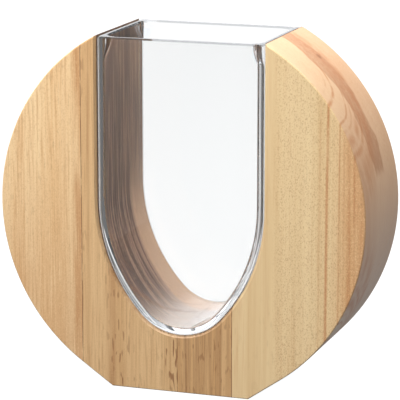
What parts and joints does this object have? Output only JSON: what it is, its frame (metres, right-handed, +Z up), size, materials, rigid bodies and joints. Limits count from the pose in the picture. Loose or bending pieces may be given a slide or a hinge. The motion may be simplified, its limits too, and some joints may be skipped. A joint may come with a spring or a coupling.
{
  "type": "flower vase with wooden stand",
  "caption": "Flat U-shaped clear glass vase that drops into a slot in an upright round wooden block with a flat base, for cut stems or a small bunch.",
  "frame": {"origin": "middle of the flat base, on the surface that the block stands on", "axes": "+Z up, +X to the right seen from the front, -Y towards the viewer in front; the slot runs through along Y"},
  "size_m": [0.2, 0.067, 0.1877],
  "materials": {
    "pine": "sanded, thin clear satin coat",
    "clear_glass": "clear, polished"
  },
  "bodies": {
    "block": {"left_outer_stave": "pine", "left_inner_stave": "pine", "middle_stave": "pine", "right_stave": "pine"},
    "vessel": {"glass_vessel": "clear_glass"}
  },
  "joints": [
    {"name": "vessel_lift", "type": "slide", "parent": "block", "child": "vessel", "axis": [0, 0, 1], "range_m": [0, 0.16]}
  ]
}
